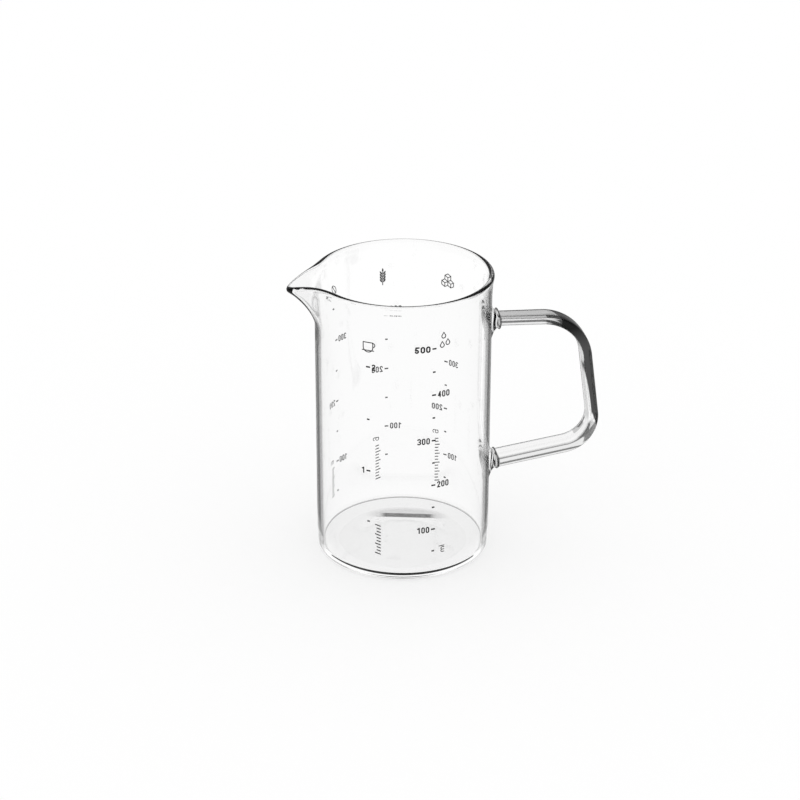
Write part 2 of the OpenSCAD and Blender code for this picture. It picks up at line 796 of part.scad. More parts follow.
// The drops stand across the scale from its top figure
module water_drops_picture() {
    side = last_figure(ml_heights) % 2 == 1 ? 1 : -1;
    enamel() at_wall(ml_bearing, picture_z) translate([side * drops_out, 0]) drops();
}

// Cup scale
module cup_ticks() { enamel() ticks(cup_bearing, cup_heights); }

module cup_figures() {
    enamel() for (k = [1 : last_figure(cup_heights)])
        at_wall(cup_bearing, cup_heights[2 * k - 1]) tick_number([k], figure_w, figure_h, figure_stroke);
}

module cup_guide_line() { enamel() reading_up(cup_bearing, unit_z) guide_band(10); }

module cup_picture() { enamel() at_wall(cup_bearing, picture_z - cup_h / 2) cup_outline(); }

// Cocoa scale
module cocoa_ticks() { enamel() ticks(cocoa_bearing, cocoa_heights); }

module cocoa_figures() { enamel() hundreds(cocoa_bearing, cocoa_heights, last_figure(cocoa_heights)); }

module cocoa_unit() { enamel() gram_unit(cocoa_bearing, 10); }

module cocoa_bean_picture() { enamel() at_wall(cocoa_bearing, picture_z) bean(); }

// Flour scale
module flour_ticks() { enamel() ticks(flour_bearing, flour_heights); }

module flour_figures() { enamel() hundreds(flour_bearing, flour_heights, last_figure(flour_heights)); }

module flour_unit() { enamel() gram_unit(flour_bearing, 12); }

module grain_ear_picture() { enamel() at_wall(flour_bearing, picture_z) translate([ear_out, 0]) grain_ear(); }

// Sugar scale
module sugar_ticks() { enamel() ticks(sugar_bearing, sugar_heights); }

module sugar_figures() { enamel() hundreds(sugar_bearing, sugar_heights, last_figure(sugar_heights)); }

module sugar_unit() { enamel() gram_unit(sugar_bearing, 15); }

module sugar_cubes_picture() { enamel() at_wall(sugar_bearing, picture_z) sugar_cubes(); }

vessel();
pouring_spout();
handle();
upper_handle_seal();
lower_handle_seal();
millilitre_ticks();
millilitre_figures();
millilitre_unit();
water_drops_picture();
cup_ticks();
cup_figures();
cup_guide_line();
cup_picture();
cocoa_ticks();
cocoa_figures();
cocoa_unit();
cocoa_bean_picture();
flour_ticks();
flour_figures();
flour_unit();
grain_ear_picture();
sugar_ticks();
sugar_figures();
sugar_unit();
sugar_cubes_picture();
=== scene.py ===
# %% [markdown]
# A half-litre measuring jug of clear glass.
#
# The jug is blown: a straight cylinder with a fire-polished rim and a pulled spout. A flat
# glass bar is bent into a handle and fused on at two flared seals. Five scales are printed on
# the wall in black enamel. The real jug is one piece of glass, so light never meets a surface
# between the wall, a seal and the bar. The lesson is mostly about that: how to build glass
# from separate closed meshes that still look like one.

# %% Load the frame
import json
import math

import bpy
import numpy as np
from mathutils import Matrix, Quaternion


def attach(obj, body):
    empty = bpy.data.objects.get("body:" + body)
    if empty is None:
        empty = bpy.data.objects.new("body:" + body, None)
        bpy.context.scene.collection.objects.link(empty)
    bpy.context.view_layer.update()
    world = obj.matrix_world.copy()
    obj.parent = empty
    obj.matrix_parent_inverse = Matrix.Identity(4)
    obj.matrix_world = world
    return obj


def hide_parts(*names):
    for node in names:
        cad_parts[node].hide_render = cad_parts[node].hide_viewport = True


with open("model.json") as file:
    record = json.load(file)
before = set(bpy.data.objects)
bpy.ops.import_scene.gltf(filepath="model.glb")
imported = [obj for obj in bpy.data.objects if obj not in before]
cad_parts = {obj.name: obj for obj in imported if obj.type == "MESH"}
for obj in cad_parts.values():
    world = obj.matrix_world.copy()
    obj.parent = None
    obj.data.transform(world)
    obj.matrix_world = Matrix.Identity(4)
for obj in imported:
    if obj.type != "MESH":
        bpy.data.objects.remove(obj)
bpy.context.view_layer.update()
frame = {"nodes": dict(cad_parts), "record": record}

MM = 0.001

# %% [markdown]
# The sizes are those of the construction, in metres. The origin is the middle of the base,
# +Z is up, the handle points along +X and the spout along -X. A turn is an angle round the
# axis that starts at the middle of the spout.

# %% Sizes of the vessel
OUTER_R = 40 * MM
JUG_H = 136.6 * MM
WALL = 2.3 * MM
BASE_T = 3.5 * MM
BASE_CORNER_R = 3.3 * MM
FLOOR_CORNER_R = 1.2 * MM
FLOOR_DOME = 0.4 * MM
HOLLOW_RISE = 1.1 * MM
HOLLOW_R = 30 * MM
HOLLOW_TOP_R = 12 * MM
BEAD_R = 1.35 * MM
RIM_FLARE = 0.9 * MM
RIM_FLARE_H = 12.6 * MM
SPOUT_REACH = 12.4 * MM
SPOUT_DIP = 3.4 * MM
SPOUT_H = 24.6 * MM
SPOUT_HALF_ANGLE = math.radians(36)
SPOUT_TIP_SHARE = 0.08
REACH_POWER, DIP_POWER, DEPTH_POWER = 2.9, 4.8, 1.8

INNER_R = OUTER_R - WALL
RIM_Z = JUG_H - BEAD_R
SPOUT_Z = JUG_H - SPOUT_H
FLARE_Z = JUG_H - RIM_FLARE_H
LEAN_R = (RIM_FLARE_H**2 + RIM_FLARE**2) / (2 * RIM_FLARE)
LEAN_X = OUTER_R + LEAN_R
BEAD_SWELL_H = 2.4 * BEAD_R
FLOOR_FLAT_R = INNER_R - FLOOR_CORNER_R
print("vessel:", 2 * OUTER_R / MM, "mm wide and", JUG_H / MM, "mm high")

# %% Sizes of the handle and its seals
UPPER_SEAL_Z = 110.5 * MM
LOWER_SEAL_Z = 39.6 * MM
SEAL_PAD_R = 9.4 * MM
SEAL_OUT = 4.4 * MM
SEAL_FLARE_OUT = 2.9 * MM
SEAL_NECK_H = 3.9 * MM
SEAL_NECK_W = 6.4 * MM
SEAL_RING_PROUD = 0.6 * MM
BAR_W_TOP, BAR_W_LOW = 9.4 * MM, 12.6 * MM
BAR_T_TOP, BAR_T_LOW = 4.6 * MM, 4.8 * MM
BAR_SQUARENESS = 5.0
UPPER_BEND_R, LOWER_BEND_R = 22 * MM, 15 * MM
SEAM_X = OUTER_R + SEAL_OUT
UPPER_CORNER = np.array([OUTER_R + 43 * MM, UPPER_SEAL_Z - 1.6 * MM])
LOWER_CORNER = np.array([OUTER_R + 51.2 * MM, LOWER_SEAL_Z + 6.9 * MM])
ARM_FALL = (UPPER_SEAL_Z - UPPER_CORNER[1]) / (UPPER_CORNER[0] - SEAM_X)
ARM_RISE = (LOWER_CORNER[1] - LOWER_SEAL_Z) / (LOWER_CORNER[0] - SEAM_X)
print("handle: seals at heights of", LOWER_SEAL_Z / MM, "and", UPPER_SEAL_Z / MM, "mm")

# %% [markdown]
# Where two glass solids are fused, their touching faces must not bend or reflect light. Both
# faces lie in exactly the same place and get a finish that light goes straight through. For
# that the wall needs mesh lines along the round outline of each seal. A square patch of the
# wall's grid is warped so that its inner square becomes that circle, and the same warp makes
# the caps of the seals and of the bar.

# %% Square patch to round pad
PATCH_CELLS = 32
PAD_CELLS = 20
PATCH_HALF = 12 * MM
PAD_SHARE = PAD_CELLS / PATCH_CELLS
TINY = 1e-6


def warp_patch(across, up):
    """Square to pad: with m the larger of |across| and |up|, squares of m up to PAD_SHARE
    become circles of radius in proportion, and from there out they ease back to squares."""
    m = np.maximum(np.abs(across), np.abs(up))
    d = np.maximum(np.hypot(across, up), TINY**2)
    to_circle = m / d * (SEAL_PAD_R / PATCH_HALF / PAD_SHARE)
    ease = np.clip((m - PAD_SHARE) / (1 - PAD_SHARE), 0, 1)
    scale = (1 - ease) * to_circle + ease
    inside = m <= 1
    return np.where(inside, across * scale, across), np.where(inside, up * scale, up)


def pad_ring():
    """Grid indices of the edge of a pad's grid, in order round it, and the directions they lie in."""
    n = PAD_CELLS
    steps = np.arange(n)
    rows = np.concatenate([steps * 0, steps, steps * 0 + n, n - steps])
    columns = np.concatenate([steps, steps * 0 + n, n - steps, steps * 0])
    angle = np.arctan2(rows - n / 2, columns - n / 2)
    return rows * (n + 1) + columns, angle


RING, RING_ANGLE = pad_ring()
print("pad ring:", len(RING), "points")

# %% [markdown]
# The vessel is one closed surface. It starts under the base, goes up the outside, over the
# bead of the rim and down the inside to the floor. The spout is a bump of the wall's middle
# surface: its share is one at the tip and falls to nothing at the edges of its angle. The two
# faces of the glass stand off that middle surface along its normal, so the glass keeps its
# thickness however the spout bends.

# %% Middle surface of the wall


def lean_radius(z):
    """Radius of the wall's middle at height z: straight, then an arc that leans out to the rim."""
    rise = np.maximum(z - FLARE_Z, 0)
    return LEAN_X - np.sqrt((LEAN_R + WALL / 2) ** 2 - rise**2)


def wall_middle(turn, height):
    """Point of the wall's middle. With u = sqrt((turn / half angle)^2 + tip^2), the spout's
    share is s = (1 - u) / (1 - tip) inside its angle. The rim drops by dip times a power of s,
    and the radius grows by reach times a power of s times a power of the height share."""
    u = np.hypot(turn / SPOUT_HALF_ANGLE, SPOUT_TIP_SHARE)
    share = np.clip((1 - u) / (1 - SPOUT_TIP_SHARE), 0, None)
    up = np.maximum((height - SPOUT_Z) / (RIM_Z - SPOUT_Z), 0)
    top = RIM_Z - SPOUT_DIP * share**DIP_POWER
    z = np.where(height > SPOUT_Z, SPOUT_Z + up * (top - SPOUT_Z), height)
    r = lean_radius(z) + SPOUT_REACH * share**REACH_POWER * up**DEPTH_POWER
    return np.stack([-r * np.cos(turn), -r * np.sin(turn), z], axis=-1)


def unit(v):
    """Vector divided by its length, along the last axis."""
    return v / np.linalg.norm(v, axis=-1, keepdims=True)


def wall_slopes(turn, height, step=1e-5):
    """Unit vectors outwards and upwards from the wall's middle, from small differences of it."""
    along = wall_middle(turn + step, height) - wall_middle(turn - step, height)
    rise = wall_middle(turn, height + step * OUTER_R) - wall_middle(turn, height - step * OUTER_R)
    return unit(np.cross(along, rise)), unit(rise)


print("tip of the spout:", wall_middle(0.0, RIM_Z))

# %% [markdown]
# The mesh is a grid of columns and rows. The columns crowd together in the middle of the spout
# and have the spacing of the square patch behind the handle. The rows have it too where a seal
# lies, and are wide elsewhere, because a straight wall needs few.

# %% Columns and rows of the vessel
SPOUT_COLUMNS = 96
SIDE_COLUMNS = 80
SPOUT_CROWDING = 1.5
SPOUT_MARGIN = 1.08
LOW_ROWS, BETWEEN_ROWS, HIGH_ROWS = 8, 12, 20
SPOUT_EDGE = SPOUT_HALF_ANGLE * SPOUT_MARGIN
q = np.linspace(-1, 1, SPOUT_COLUMNS + 1)
spout_turns = SPOUT_EDGE * np.sign(q) * np.abs(q) ** SPOUT_CROWDING
patch_turns = math.pi + np.arcsin(np.linspace(-1, 1, PATCH_CELLS + 1) * PATCH_HALF / OUTER_R)
one_side = np.linspace(SPOUT_EDGE, patch_turns[0], SIDE_COLUMNS + 1)[1:-1]
other_side = np.linspace(patch_turns[-1], 2 * math.pi - SPOUT_EDGE, SIDE_COLUMNS + 1)[1:-1]
turns = np.concatenate([spout_turns, one_side, patch_turns, other_side])

wall_heights = np.concatenate([
    np.linspace(BASE_CORNER_R, LOWER_SEAL_Z - PATCH_HALF, LOW_ROWS + 1)[:-1],
    np.linspace(LOWER_SEAL_Z - PATCH_HALF, LOWER_SEAL_Z + PATCH_HALF, PATCH_CELLS + 1),
    np.linspace(LOWER_SEAL_Z + PATCH_HALF, UPPER_SEAL_Z - PATCH_HALF, BETWEEN_ROWS + 1)[1:-1],
    np.linspace(UPPER_SEAL_Z - PATCH_HALF, UPPER_SEAL_Z + PATCH_HALF, PATCH_CELLS + 1),
    np.linspace(UPPER_SEAL_Z + PATCH_HALF, RIM_Z, HIGH_ROWS + 1)[1:],
])
print("vessel:", len(turns), "columns,", len(wall_heights), "rows of outer wall")

# %% [markdown]
# Each part of the surface is a function that returns its own rows of points. The parts meet
# where the next one starts, and no row is written twice, so joined in order they are one skin.

# %% Parts of the vessel's surface
RIM_CROWDING = 1.3
SPOUT_ROWS, INNER_ROWS, BEAD_ROWS = 24, 12, 14


def turned(radii, heights):
    """A profile turned about the axis: every radius and height at every column."""
    r, t = np.meshgrid(radii, turns, indexing="ij")
    z = np.meshgrid(heights, turns, indexing="ij")[0]
    return np.stack([-r * np.cos(t), -r * np.sin(t), z], axis=-1)


def half_wall(height):
    """Half the glass: half the wall, swelling to the bead's radius by a cosine squared."""
    below = np.clip((RIM_Z - height) / BEAD_SWELL_H, 0, 1)
    return WALL / 2 + (BEAD_R - WALL / 2) * np.cos(below * math.pi / 2) ** 2


def wall_face(turn, height, side):
    """A face of the wall: its middle moved by half the glass along its normal."""
    out = wall_slopes(turn, height)[0]
    return wall_middle(turn, height) + side * half_wall(height)[..., None] * out


def outer_wall():
    """The outside of the wall, with the two square patches warped to the seals' round pads."""
    height, turn = np.meshgrid(wall_heights, turns, indexing="ij")
    for seal_z in (LOWER_SEAL_Z, UPPER_SEAL_Z):
        across = np.sin(turn - math.pi) * OUTER_R / PATCH_HALF
        up = (height - seal_z) / PATCH_HALF
        handle_side = np.cos(turn - math.pi) > 0
        inside = handle_side & (np.abs(across) < 1 + TINY) & (np.abs(up) < 1 + TINY)
        new_across, new_up = warp_patch(np.clip(across, -1, 1), np.clip(up, -1, 1))
        new_turn = math.pi + np.arcsin(new_across * PATCH_HALF / OUTER_R)
        turn = np.where(inside, new_turn, turn)
        height = np.where(inside, seal_z + new_up * PATCH_HALF, height)
    return wall_face(turn, height, 1)


def rim_bead():
    """The top half of the bead: a half circle about the end of the wall's middle."""
    angle, turn = np.meshgrid(np.linspace(0, math.pi, BEAD_ROWS + 1)[1:-1], turns, indexing="ij")
    height = np.full_like(turn, RIM_Z)
    out, rise = wall_slopes(turn, height)
    ring = np.cos(angle)[..., None] * out + np.sin(angle)[..., None] * rise
    return wall_middle(turn, height) + BEAD_R * ring


def inner_wall():
    """The inside of the wall from the rim down to the floor's corner."""
    heights = np.concatenate([
        RIM_Z - np.linspace(0, 1, SPOUT_ROWS + 1)[:-1] ** RIM_CROWDING * (RIM_Z - SPOUT_Z),
        np.linspace(SPOUT_Z, BASE_T + FLOOR_CORNER_R, INNER_ROWS + 1),
    ])
    height, turn = np.meshgrid(heights, turns, indexing="ij")
    return wall_face(turn, height, -1)


def under_rise(r):
    """Height of the underside: an S of two parabolas, steepest halfway between ring and middle."""
    u = np.clip((HOLLOW_R - r) / (HOLLOW_R - HOLLOW_TOP_R), 0, 1)
    return HOLLOW_RISE * np.where(u < 0.5, 2 * u**2, 1 - 2 * (1 - u) ** 2)


def floor_rise(r):
    """Height of the floor: a shallow dome, its fall at radius r from its sagitta."""
    dome_r = (FLOOR_FLAT_R**2 + FLOOR_DOME**2) / (2 * FLOOR_DOME)
    return BASE_T + FLOOR_DOME - dome_r + np.sqrt(dome_r**2 - r**2)


print("glass at the rim:", round(2 * half_wall(RIM_Z) / MM, 2), "mm thick")

# %% [markdown]
# The rows are joined into one array, and a pole closes it at either end, under the base and on
# the floor. The faces are quads between neighbouring rows and columns, and a fan at each pole.

# %% Whole vessel
CORNER_ROWS = 10
TOP_ROWS, SLOPE_ROWS, FLOOR_ROWS = 4, 36, 14


def grid_faces(rows, columns, first=0):
    """Quads of a grid that closes round its columns, facing outwards for rows that rise outside."""
    i, j = np.meshgrid(np.arange(rows - 1), np.arange(columns), indexing="ij")
    k = (j + 1) % columns
    quads = np.stack([i * columns + j, i * columns + k, (i + 1) * columns + k, (i + 1) * columns + j], -1)
    return quads.reshape(-1, 4) + first


def make_piece(name, points, faces, body="root"):
    """A mesh object at the origin, smooth, riding on a body of the frame."""
    mesh = bpy.data.meshes.new(name)
    mesh.from_pydata(points.tolist(), [], faces)
    mesh.update()
    mesh.polygons.foreach_set("use_smooth", np.ones(len(mesh.polygons), bool))
    piece = bpy.data.objects.new(name, mesh)
    bpy.context.scene.collection.objects.link(piece)
    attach(piece, body)
    return piece


quarter = np.linspace(-math.pi / 2, 0, CORNER_ROWS + 1)
under_r = np.concatenate([
    np.linspace(0, HOLLOW_TOP_R, TOP_ROWS + 1)[1:-1],
    np.linspace(HOLLOW_TOP_R, HOLLOW_R, SLOPE_ROWS + 1),
])
floor_r = np.linspace(FLOOR_FLAT_R, 0, FLOOR_ROWS + 1)[:-1]
surface = [
    turned(under_r, under_rise(under_r)),
    turned(OUTER_R - BASE_CORNER_R + BASE_CORNER_R * np.cos(quarter[:-1]),
           BASE_CORNER_R + BASE_CORNER_R * np.sin(quarter[:-1])),
    outer_wall(),
    rim_bead(),
    inner_wall(),
    turned(FLOOR_FLAT_R + FLOOR_CORNER_R * np.cos(quarter[-2::-1]),
           BASE_T + FLOOR_CORNER_R + FLOOR_CORNER_R * np.sin(quarter[-2::-1])),
    turned(floor_r[1:], floor_rise(floor_r[1:])),
]
surface = np.concatenate(surface)
rows, columns = surface.shape[:2]
vessel_points = np.concatenate([
    surface.reshape(-1, 3),
    [[0, 0, HOLLOW_RISE], [0, 0, BASE_T + FLOOR_DOME]],
])
under_pole, floor_pole = rows * columns, rows * columns + 1
ring_j = np.arange(columns)
next_j = (ring_j + 1) % columns
last_row = (rows - 1) * columns
vessel_faces = (
    grid_faces(rows, columns).tolist()
    + np.stack([ring_j * 0 + under_pole, next_j, ring_j], -1).tolist()
    + np.stack([ring_j * 0 + floor_pole, last_row + ring_j, last_row + next_j], -1).tolist()
)
vessel = make_piece("glass_vessel", vessel_points, vessel_faces)
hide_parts("vessel", "pouring_spout")
print("vessel:", len(vessel_faces), "faces")

# %% [markdown]
# A seal is a loft of loops that begin as the round pad on the wall and end as the section of
# the bar. Every loop has as many points as the edge of a pad's grid, so both of its caps can
# be that grid, point for point the same as the face that they are fused to.

# %% Loops of the seals and the bar
SEAL_STEPS = 32
SEAL_CROWDING = 1.2


def oblong(angle, half_w, half_h, squareness):
    """Superellipse: half width times |cos|^(2 / squareness) and half height times
    |sin|^(2 / squareness), with the signs of cosine and sine."""
    power = 2 / squareness
    c, s = np.cos(angle), np.sin(angle)
    return half_w * np.sign(c) * np.abs(c) ** power, half_h * np.sign(s) * np.abs(s) ** power


def seal_loops(seal_z, bar_w, bar_t, angle, d, share=1):
    """Points of a seal at distance d from the wall. The pad narrows by (1 - d / flare)^2, a ring
    swells by a cosine squared, and from the ring on the loop eases into the bar's section."""
    flare = np.maximum(0, 1 - d / SEAL_FLARE_OUT) ** 2
    ring_out = (SEAL_FLARE_OUT + SEAL_OUT) / 2
    ring_half = (SEAL_OUT - SEAL_FLARE_OUT) / 2
    ring = np.cos(math.pi / 2 * np.minimum(1, np.abs(d - ring_out) / ring_half)) ** 2
    to_bar = np.maximum(0, (d - ring_out) / ring_half) ** 2
    neck_w = SEAL_NECK_W + (SEAL_PAD_R - SEAL_NECK_W) * flare + SEAL_RING_PROUD * ring
    neck_h = SEAL_NECK_H + (SEAL_PAD_R - SEAL_NECK_H) * flare + SEAL_RING_PROUD * ring
    half_w = neck_w + (bar_w / 2 - neck_w) * to_bar
    half_h = neck_h + (bar_t / 2 - neck_h) * to_bar
    across, up = oblong(angle, half_w, half_h, 2 + (BAR_SQUARENESS - 2) * to_bar)
    across, up = across * share, up * share
    r = OUTER_R + d
    wrap = np.maximum(0, 1 - d / SEAL_FLARE_OUT)
    x = r + wrap * (np.sqrt(r**2 - across**2) - r)
    return np.stack(np.broadcast_arrays(x, across, seal_z + up), axis=-1)


def pad_shares():
    """Angle and share of the radius of every point of a pad's grid."""
    steps = np.linspace(-1, 1, PAD_CELLS + 1)
    up, across = np.meshgrid(steps, steps, indexing="ij")
    return np.arctan2(up, across).ravel(), np.maximum(np.abs(across), np.abs(up)).ravel()


def close_loft(loops, caps):
    """A closed solid from loops and two caps, each a pad's grid whose edge is the end loop.
    Returns points, faces and the number of faces that aren't caps."""
    rows, count = loops.shape[:2]
    points = [loops.reshape(-1, 3)]
    faces = grid_faces(rows, count)
    sides = len(faces)
    total = rows * count
    n = PAD_CELLS + 1
    inner = np.setdiff1d(np.arange(n * n), RING)
    i, j = np.meshgrid(np.arange(n - 1), np.arange(n - 1), indexing="ij")
    quads = np.stack([i * n + j, i * n + j + 1, (i + 1) * n + j + 1, (i + 1) * n + j], -1).reshape(-1, 4)
    for row, cap in zip((0, rows - 1), caps):
        ids = np.empty(n * n, int)
        ids[RING] = row * count + np.arange(count)
        ids[inner] = total + np.arange(len(inner))
        points.append(cap[inner])
        total += len(inner)
        faces = np.concatenate([faces, ids[quads][:, ::-1] if row == 0 else ids[quads]])
    return np.concatenate(points), faces, sides


pad_angle, pad_share = pad_shares()
print("caps:", len(pad_angle), "points each")

# %% Seals


def make_seal(name, seal_z, bar_w, bar_t, node):
    """A seal, with its pad on the wall and its far cap on the end of the bar."""
    d = np.linspace(0, 1, SEAL_STEPS + 1)[:, None] ** SEAL_CROWDING * SEAL_OUT
    loops = seal_loops(seal_z, bar_w, bar_t, RING_ANGLE, d)
    caps = [seal_loops(seal_z, bar_w, bar_t, pad_angle, end, pad_share) for end in (0.0, SEAL_OUT)]
    points, faces, sides = close_loft(loops, caps)
    seal = make_piece(name, points, faces.tolist())
    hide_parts(node)
    return seal, sides


upper_seal, upper_sides = make_seal("upper_seal", UPPER_SEAL_Z, BAR_W_TOP, BAR_T_TOP, "upper_handle_seal")
lower_seal, lower_sides = make_seal("lower_seal", LOWER_SEAL_Z, BAR_W_LOW, BAR_T_LOW, "lower_handle_seal")
print("seals:", len(upper_seal.data.polygons), "faces each")

# %% [markdown]
# The bar runs out from the upper seal, turns down through a wide bend, and comes back through
# a tighter one to the lower seal. It widens a little on the way. Its path is two rounded
# corners joined by straight stretches, and its section is an oblong with soft edges.

# %% Path of the bar
BEND_STEPS = 52
ARM_STEPS = 16
GRIP_STEPS = 24


def rounded_corner(a, b, c, radius):
    """Points of the arc that touches both a-b and b-c, turning clockwise, and its middle. With
    half the corner's angle h, the arc starts radius / tan(h) from b, and its middle lies
    radius / sin(h) from b, on the line that halves the corner."""
    p, r = unit(a - b), unit(c - b)
    half = math.acos(p @ r) / 2
    start = b + p * radius / math.tan(half)
    middle = b + unit(p + r) * radius / math.sin(half)
    turn = -np.linspace(0, math.pi - 2 * half, BEND_STEPS + 1)
    spoke = start - middle
    arc = np.stack([
        spoke[0] * np.cos(turn) - spoke[1] * np.sin(turn),
        spoke[0] * np.sin(turn) + spoke[1] * np.cos(turn),
    ], -1)
    return middle + arc, middle


upper_start = np.array([SEAM_X, UPPER_SEAL_Z])
lower_end = np.array([SEAM_X, LOWER_SEAL_Z])
upper_bend, upper_bend_middle = rounded_corner(upper_start, UPPER_CORNER, LOWER_CORNER, UPPER_BEND_R)
lower_bend, lower_bend_middle = rounded_corner(UPPER_CORNER, LOWER_CORNER, lower_end, LOWER_BEND_R)
path = np.concatenate([
    np.linspace(upper_start, upper_bend[0], ARM_STEPS + 1)[:-1],
    upper_bend[:-1],
    np.linspace(upper_bend[-1], lower_bend[0], GRIP_STEPS + 1)[:-1],
    lower_bend[:-1],
    np.linspace(lower_bend[-1], lower_end, ARM_STEPS + 1),
])
way = unit(np.concatenate([[[1.0, 0.0]], path[2:] - path[:-2], [[-1.0, 0.0]]]))
print("bar: path of", len(path), "points, bends about", upper_bend_middle, "and", lower_bend_middle)

# %% [markdown]
# At each point of the path stands one section, square to the way that the path runs. At both
# ends the way is level, so the end sections lie flat on the caps of the seals.

# %% Bar


def bar_loops(index, angle, share=1):
    """Sections of the bar at places of its path: an oblong across the way that the path runs."""
    f = index / (len(path) - 1)
    half_w = (BAR_W_TOP + (BAR_W_LOW - BAR_W_TOP) * f) / 2
    half_t = (BAR_T_TOP + (BAR_T_LOW - BAR_T_TOP) * f) / 2
    side, off = oblong(angle, half_w, half_t, BAR_SQUARENESS)
    side, off = side * share, off * share
    x = path[index, 0] - way[index, 1] * off
    z = path[index, 1] + way[index, 0] * off
    return np.stack(np.broadcast_arrays(x, side, z), axis=-1)


bar_index = np.arange(len(path))[:, None]
bar_caps = [bar_loops(np.array(end), pad_angle, pad_share) for end in (0, len(path) - 1)]
bar_points, bar_faces, bar_sides = close_loft(bar_loops(bar_index, RING_ANGLE), bar_caps)
bar = make_piece("glass_handle", bar_points, bar_faces.tolist())
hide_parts("handle")
print("bar:", len(bar_faces), "faces")

# %% [markdown]
# Shader maths reads like arithmetic here. A wire is one number on its way through the nodes,
# and + - * / ** > and abs() on wires add Math nodes. Everything else comes from one method.
# A few functions stand for the sums that come up again and again.

# %% Shader helpers


class Wire:
    """An output of a node. Arithmetic on wires and numbers adds Math nodes."""

    def __init__(self, finish, socket):
        self.finish = finish
        self.socket = socket

    def _math(self, operation, first, second):
        return self.finish.add("ShaderNodeMath", {"operation": operation}, {0: first, 1: second})

    def __add__(self, other):
        return self._math("ADD", self, other)

    def __sub__(self, other):
        return self._math("SUBTRACT", self, other)

    def __rsub__(self, other):
        return self._math("SUBTRACT", other, self)

    def __mul__(self, other):
        return self._math("MULTIPLY", self, other)

    def __truediv__(self, other):
        return self._math("DIVIDE", self, other)

    def __pow__(self, other):
        return self._math("POWER", self, other)

    def __gt__(self, other):
        return self._math("GREATER_THAN", self, other)

    def __abs__(self):
        return self.finish.add("ShaderNodeMath", {"operation": "ABSOLUTE"}, {0: self})

    __radd__ = __add__
    __rmul__ = __mul__


class Finish:
    """A node tree in the making, for a material or for the world."""

    def __init__(self, owner):
        owner.use_nodes = True
        self.tree = owner.node_tree
        self.tree.nodes.clear()

    def add(self, kind, settings=None, sockets=None, output=0):
        """One node: its settings first, then a value or a wire for each socket named."""
        node = self.tree.nodes.new(kind)
        for key, value in (settings or {}).items():
            if key == "stops":
                self._set_stops(node.color_ramp, value)
            else:
                setattr(node, key, value)
        for key, value in (sockets or {}).items():
            if isinstance(value, Wire):
                self.tree.links.new(value.socket, node.inputs[key])
            else:
                node.inputs[key].default_value = value
        return Wire(self, node.outputs[output]) if len(node.outputs) else node

    @staticmethod
    def _set_stops(ramp, stops):
        while len(ramp.elements) < len(stops):
            ramp.elements.new(0.5)
        for element, (position, colour) in zip(ramp.elements, stops):
            element.position = position
            element.color = colour


def grey(level):
    """A colour of one level of grey."""
    return (level, level, level, 1)


def smooth(wire, start, end):
    """Eases from 0 where the wire is start to 1 where it is end: 3 u^2 - 2 u^3 of its share u."""
    sockets = {"Value": wire, "From Min": start, "From Max": end, "To Min": 0.0, "To Max": 1.0}
    return wire.finish.add("ShaderNodeMapRange", {"interpolation_type": "SMOOTHSTEP"}, sockets)


def larger(wire, other):
    """The larger of a wire and another wire or number."""
    return wire.finish.add("ShaderNodeMath", {"operation": "MAXIMUM"}, {0: wire, 1: other})


def length(first, second):
    """Root of the sum of two squares."""
    return (first**2 + second**2) ** 0.5


def covered(*shades):
    """Shades that lie over each other: one less what all of them let through."""
    through = 1
    for shade in shades:
        through = through * (1 - shade)
    return 1 - through


def axes_of(f, names="XYZ"):
    """Object coordinates, a wire for each axis that is named."""
    place = f.add("ShaderNodeTexCoord", output="Object")
    return [f.add("ShaderNodeSeparateXYZ", None, {0: place}, output=axis) for axis in names]


print("shader helpers are ready")

# %% [markdown]
# Some of the dark shapes in real glass are pictures of a room that can't be known. They are
# made as painted shades by place: each function says how much light a place keeps back, from 0
# to nearly 1, by darkening the glass's colour there. A place is told by its coordinates on the
# object, so the painted shades stay where they are from whatever side the jug is seen. All
# their edges are soft.
#
# The vessel has three painted shades, all on its floor: a fine dark ring in the corner, painted
# where light is bent away, an even painted light grey, and a straight streak with a haze behind
# it, a painted reflection of the room.

# %% Painted shades of the vessel
# Painted shade on the floor: a dark ring, an even grey (FLOOR_SHADE) and a dark streak with haze.
LINE_R = 36.95 * MM
LINE_SOFT = 0.12 * MM
LINE_RISE = 0.25 * MM
LINE_SHADE = 0.8
FLOOR_SHADE = 0.2
STREAK_TURN = math.radians(10.5)
STREAK_MIDDLE = (2.2 * MM, 18.3 * MM)
STREAK_TILT = 0.052
STREAK_HALF = (12.5 * MM, 2.0 * MM)
STREAK_SOFT = (2.0 * MM, 0.4 * MM)
STREAK_SHADE = 0.965
HAZE_HALF = (22 * MM, 9 * MM)
HAZE_FULL_SHARE = 0.6
HAZE_SHADE = 0.42


def floor_line(x, y, z):
    """The painted dark ring: from LINE_R outwards to the wall, and only low down in the floor's corner."""
    r = length(x, y)
    ring = smooth(r, LINE_R - LINE_SOFT, LINE_R) * smooth(r, INNER_R + LINE_SOFT, INNER_R)
    return ring * smooth(z, BASE_T + 2 * LINE_RISE, BASE_T + LINE_RISE) * LINE_SHADE


def streak(x, y):
    """The painted streak, a dark reflection of the room: its share is 1 within half its length and
    half its width, in coordinates that are turned and tilted with it. The painted haze is the part
    of an oval that lies behind the streak's near edge."""
    cos, sin = math.cos(STREAK_TURN), math.sin(STREAK_TURN)
    half_l, half_w = STREAK_HALF
    soft_l, soft_w = STREAK_SOFT
    along = x * cos - y * sin - STREAK_MIDDLE[0]
    back = x * sin + y * cos + along * STREAK_TILT - STREAK_MIDDLE[1]
    stroke = smooth(abs(along), half_l + soft_l, half_l - soft_l)
    stroke = stroke * smooth(abs(back), half_w + soft_w, half_w - soft_w)
    oval = length(along / HAZE_HALF[0], back / HAZE_HALF[1])
    haze = smooth(oval, 1.0, HAZE_FULL_SHARE) * smooth(back, -half_w - soft_w, -half_w)
    return covered(stroke * STREAK_SHADE, haze * HAZE_SHADE)


